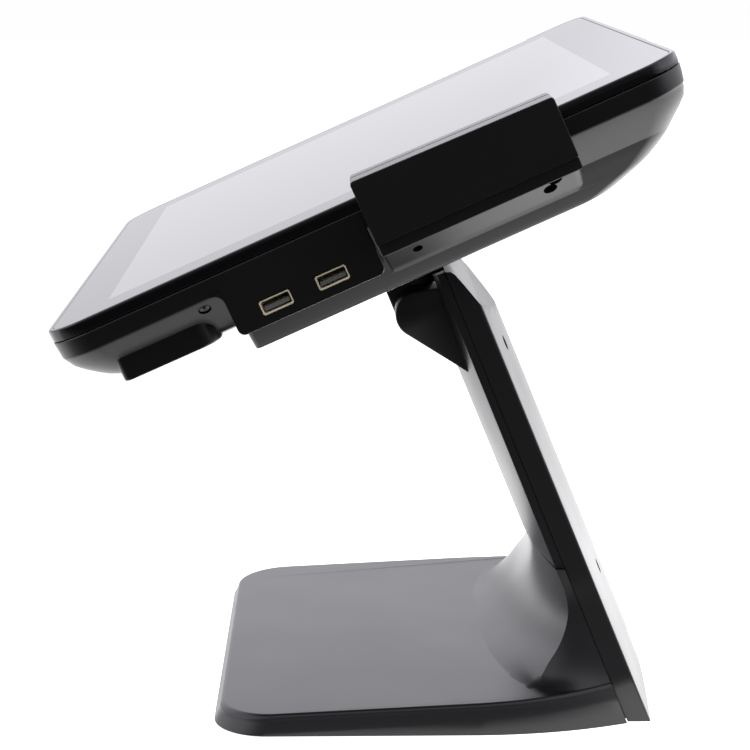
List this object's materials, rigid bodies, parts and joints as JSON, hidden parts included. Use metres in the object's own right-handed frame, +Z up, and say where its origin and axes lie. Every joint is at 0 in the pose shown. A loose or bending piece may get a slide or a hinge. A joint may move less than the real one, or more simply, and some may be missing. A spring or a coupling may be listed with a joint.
{
  "type": "pos touchscreen terminal",
  "caption": "Countertop checkout terminal: tilting touchscreen head with side ports and a swipe card reader, on a broad leaning arm and a weighted flat base.",
  "frame": {"origin": "centre of the base on the surface that it stands on, at the underside of the middle foot", "axes": "+X to the user's right, +Y to the back of the terminal, +Z up"},
  "size_m": [0.3846, 0.2701, 0.3114],
  "materials": {
    "black_texture": "satin black moulded plastic with a fine even texture",
    "base_black": "satin black moulded plastic, slightly smoother on the broad base",
    "gloss_black": "polished black plastic",
    "reader_black": "fine matt black plastic",
    "touch_glass": "clear anti-glare touch glass",
    "display": "display panel face",
    "steel": "zinc plated sheet steel",
    "painted_steel": "black painted sheet steel",
    "cast_weight": "plain steel ballast",
    "rubber": "black rubber",
    "screw_steel": "dark zinc plated screw",
    "bright_steel": "ground steel",
    "bronze": "bronze friction washer",
    "board": "green glass-epoxy circuit board",
    "aluminium": "extruded aluminium",
    "drive": "drive case",
    "port_shell": "pale gold plated port shell",
    "port_white": "white port tongue",
    "port_black": "black port insulator",
    "cloth": "black speaker cloth",
    "button_grey": "dark grey button"
  },
  "bodies": {
    "stand": {"base_shell": "base_black", "base_weight": "cast_weight", "weight_screws": "screw_steel", "base_cover_plate": "painted_steel", "base_feet": "rubber", "base_screws": "screw_steel", "arm_front_cover": "black_texture", "hinge_housing": "black_texture", "arm_rear_cover": "black_texture", "rear_cover_screws": "screw_steel", "arm_spine": "steel", "spine_screws": "screw_steel", "hinge_ears": "steel", "tilt_shaft": "bright_steel", "friction_washers": "bronze", "spring_washers": "steel", "shaft_nuts": "steel"},
    "head": {"neck_cover": "black_texture", "tilt_bracket": "steel", "tilt_bracket_screws": "screw_steel", "hinge_pillars": "steel", "back_cover": "black_texture", "back_cover_screws": "screw_steel", "chassis_plate": "steel", "lcd_panel": "display", "lcd_screws": "screw_steel", "front_bezel": "gloss_black", "glass_tape": "port_black", "touch_glass": "touch_glass", "touch_controller": "board", "main_board": "board", "board_standoffs": "bronze", "heat_sink": "aluminium", "memory_module": "board", "coin_cell": "steel", "storage_drive": "drive", "drive_bracket": "steel", "speakers": "drive", "speaker_grilles": "cloth", "side_usb_shells": "port_shell", "side_usb_tongues": "port_white", "side_usb_board": "board", "io_plate": "steel", "rear_usb_shells": "steel", "rear_usb_tongues": "port_black", "lan_jack": "steel", "serial_ports": "steel", "power_inlet": "port_black", "power_switch": "button_grey", "reader_body": "reader_black", "reader_cover": "reader_black", "reader_board": "board", "reader_screws": "screw_steel"},
    "power_button": {"power_button": "button_grey"},
    "reader_head": {"reader_head": "bright_steel"}
  },
  "joints": [
    {"name": "head_tilt", "type": "hinge", "parent": "stand", "child": "head", "pos_m": [0, -0.0056, 0.1825], "axis": [1, 0, 0], "range_deg": [-20, 50]},
    {"name": "power_press", "type": "slide", "parent": "head", "child": "power_button", "axis": [-0.6823, -0.2991, 0.6671], "range_m": [0, 0.0008], "stiffness_N_per_m": 1500},
    {"name": "reader_head_float", "type": "slide", "parent": "head", "child": "reader_head", "axis": [1, 0, 0], "range_m": [0, 0.0008], "stiffness_N_per_m": 800}
  ]
}
